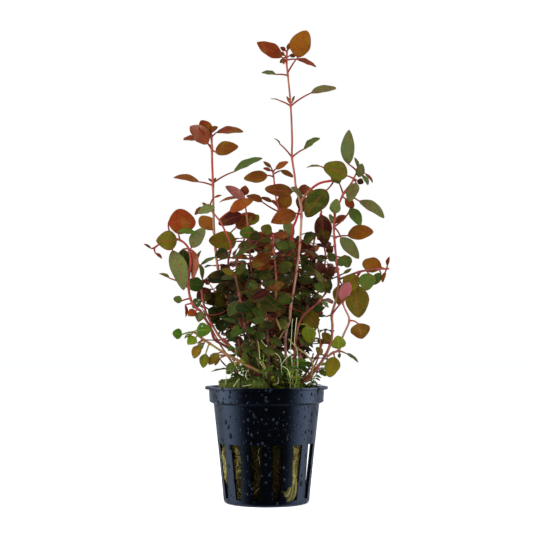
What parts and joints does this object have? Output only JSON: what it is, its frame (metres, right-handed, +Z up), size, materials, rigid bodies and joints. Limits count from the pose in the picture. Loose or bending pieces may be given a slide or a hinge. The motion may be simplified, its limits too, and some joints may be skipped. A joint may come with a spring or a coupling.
{
  "type": "potted super red ludwigia palustris",
  "caption": "Red-leaved aquarium stem plant rooted in a mineral-wool plug that stands in a slotted black net pot.",
  "frame": {"origin": "centre of the flat underside of the pot, which is what the object stands on", "axes": "+Z up, along the pot's axis and the stems; -Y is the front that the picture shows; +X to its right"},
  "size_m": [0.1108, 0.0792, 0.2159],
  "materials": {
    "pot_plastic": "moulded, satin, wet",
    "mineral_wool": "matted fibres, damp",
    "stem": "smooth living stem, pink to red",
    "leaf_red": "satin leaf, red-brown",
    "leaf_brown": "satin leaf, dark brown",
    "leaf_olive": "satin leaf, olive",
    "leaf_green": "satin leaf, green",
    "leaf_pink": "satin leaf underside, pink",
    "root": "pale thread-like roots"
  },
  "bodies": {
    "root": {"net_pot": "pot_plastic", "wool_plug": "mineral_wool", "stem_tallest": "stem", "stem_left_tall": "stem", "stem_left_curved": "stem", "stem_left_arch": "stem", "stem_low_left": "stem", "stem_inner_left": "stem", "stem_centre_left": "stem", "stem_centre": "stem", "stem_middle": "stem", "stem_middle_short": "stem", "stem_red_arch": "stem", "stem_right_tall": "stem", "stem_right_side": "stem", "stem_right_low": "stem", "stem_inner_right": "stem", "stem_inner_tall": "stem", "stem_front": "stem", "stem_back_low_left": "stem", "stem_back_left": "stem", "stem_back_middle": "stem", "stem_back_right": "stem", "stem_back_low_right": "stem", "leaf_tallest_1": "leaf_olive", "leaf_tallest_2": "leaf_red", "leaf_tallest_3": "leaf_green", "leaf_tallest_4": "leaf_brown", "leaf_tallest_5": "leaf_brown", "leaf_tallest_6": "leaf_olive", "leaf_left_tall_1": "leaf_pink", "leaf_left_tall_2": "leaf_red", "leaf_left_tall_3": "leaf_olive", "leaf_left_tall_4": "leaf_green", "leaf_left_tall_5": "leaf_olive", "leaf_left_tall_6": "leaf_brown", "leaf_left_tall_7": "leaf_red", "leaf_left_curved_1": "leaf_green", "leaf_left_arch_1": "leaf_red", "leaf_left_arch_2": "leaf_green", "leaf_left_arch_3": "leaf_green", "leaf_left_arch_4": "leaf_green", "leaf_inner_left_1": "leaf_green", "leaf_centre_left_1": "leaf_red", "leaf_centre_1": "leaf_olive", "leaf_centre_2": "leaf_brown", "leaf_middle_1": "leaf_red", "leaf_red_arch_1": "leaf_green", "leaf_right_tall_1": "leaf_green", "leaf_right_tall_2": "leaf_brown", "leaf_right_tall_3": "leaf_green", "leaf_right_tall_4": "leaf_red", "leaf_right_tall_5": "leaf_green", "leaf_right_tall_6": "leaf_pink", "leaf_right_side_1": "leaf_green", "leaf_right_side_2": "leaf_olive", "leaf_right_side_3": "leaf_olive", "leaf_right_low_1": "leaf_olive", "leaf_right_low_2": "leaf_olive", "leaf_inner_tall_1": "leaf_brown"}
  },
  "joints": []
}
